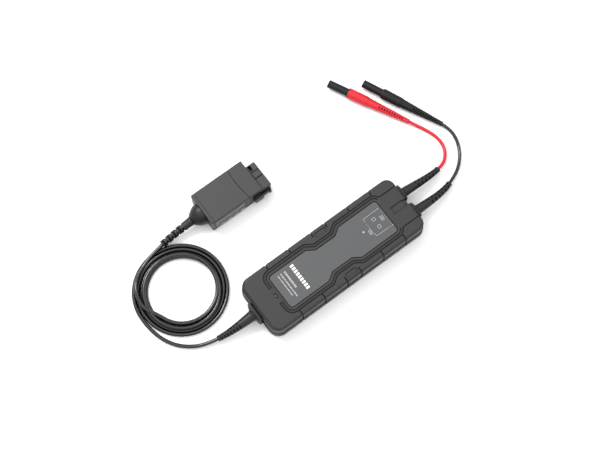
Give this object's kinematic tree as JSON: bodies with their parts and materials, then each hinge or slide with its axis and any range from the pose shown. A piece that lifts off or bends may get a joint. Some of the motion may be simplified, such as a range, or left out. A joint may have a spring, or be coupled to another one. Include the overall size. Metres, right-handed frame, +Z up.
{
  "type": "oscilloscope probe",
  "caption": "High-voltage differential oscilloscope probe: flat probe body, red and black leads with shrouded plugs, and a coiled cable to an interface box.",
  "frame": {"origin": "bottom centre of the probe body, measured without its strain reliefs, cords and interface box", "axes": "+X towards the input leads, +Z up from the surface it lies on, +Y to the side where the interface box lies"},
  "size_m": [0.4079, 0.2054, 0.027],
  "materials": {
    "case_plastic": "dark grey moulded plastic with a fine matt grain",
    "label_film": "mid grey printed polycarbonate film, satin",
    "rear_film": "grey printed film, satin",
    "soft_black": "black flexible moulding, semi-matt",
    "cable_jacket": "black cable jacket, soft gloss",
    "red_jacket": "red silicone jacket, satin",
    "red_plastic": "red moulded plastic, satin",
    "black_plastic": "black moulded plastic, satin",
    "box_plastic": "grey moulded plastic with a fine matt grain",
    "panel_film": "light grey membrane overlay",
    "key_plastic": "dark grey moulded key",
    "clear_plastic": "frosted clear light guide",
    "circuit_board": "green solder mask",
    "resistor_body": "blue lacquered resistor bodies",
    "chip_body": "black epoxy packages",
    "steel": "bright zinc-plated steel",
    "can_metal": "tinned sheet steel",
    "nickel": "nickel-plated brass",
    "gold": "gold-plated brass",
    "insulator": "white fluoropolymer"
  },
  "bodies": {
    "root": {"lower_case": "case_plastic", "upper_case": "case_plastic", "label_overlay": "label_film", "rear_label": "rear_film", "case_screws": "steel", "main_circuit_board": "circuit_board", "red_input_divider": "resistor_body", "black_input_divider": "resistor_body", "input_shield": "can_metal", "amplifier_shield": "can_metal", "amplifier_chips": "chip_body", "trimmer_capacitors": "insulator", "cable_header": "insulator", "status_led": "clear_plastic", "status_light_pipe": "clear_plastic", "red_lead_boot": "soft_black", "black_lead_boot": "soft_black", "output_cable_boot": "soft_black", "red_lead": "red_jacket", "black_lead": "cable_jacket", "output_cable_entry": "cable_jacket", "output_cable_exit": "cable_jacket", "output_cable_coil": "cable_jacket", "red_plug_tail": "red_jacket", "red_plug_grip": "red_plastic", "red_plug_sheath": "black_plastic", "red_plug_pin": "nickel", "red_plug_lantern": "nickel", "black_plug_tail": "soft_black", "black_plug_grip": "black_plastic", "black_plug_sheath": "black_plastic", "black_plug_pin": "nickel", "black_plug_lantern": "nickel", "interface_case": "box_plastic", "interface_rear_cap": "box_plastic", "interface_screws": "steel", "interface_dome": "soft_black", "interface_boot": "soft_black", "control_panel": "panel_film", "indicator_windows": "clear_plastic", "switch_board": "circuit_board", "interface_nose": "box_plastic", "latch_spring": "steel", "connector_housing": "black_plastic", "signal_connector_shell": "nickel", "signal_insulator": "insulator", "signal_contact": "gold"},
    "button_1": {"push_button_1": "key_plastic"},
    "button_2": {"push_button_2": "key_plastic"},
    "button_3": {"push_button_3": "key_plastic"},
    "button_4": {"push_button_4": "key_plastic"},
    "latch": {"latch_button": "black_plastic", "latch_hook": "black_plastic"},
    "contacts": {"contact_pins": "gold"}
  },
  "joints": [
    {"name": "button_1_press", "type": "slide", "parent": "root", "child": "button_1", "axis": [0, 1, 0], "range_m": [0, 0.0008], "stiffness_N_per_m": 300},
    {"name": "button_2_press", "type": "slide", "parent": "root", "child": "button_2", "axis": [0, 1, 0], "range_m": [0, 0.0008], "stiffness_N_per_m": 300},
    {"name": "button_3_press", "type": "slide", "parent": "root", "child": "button_3", "axis": [0, 1, 0], "range_m": [0, 0.0008], "stiffness_N_per_m": 300},
    {"name": "button_4_press", "type": "slide", "parent": "root", "child": "button_4", "axis": [0, 1, 0], "range_m": [0, 0.0008], "stiffness_N_per_m": 300},
    {"name": "latch_press", "type": "slide", "parent": "root", "child": "latch", "axis": [0, 1, 0], "range_m": [0, 0.0022], "stiffness_N_per_m": 900, "deforming": ["latch_spring"]},
    {"name": "contacts_press", "type": "slide", "parent": "root", "child": "contacts", "axis": [-1, 0, 0], "range_m": [0, 0.001], "stiffness_N_per_m": 500}
  ]
}
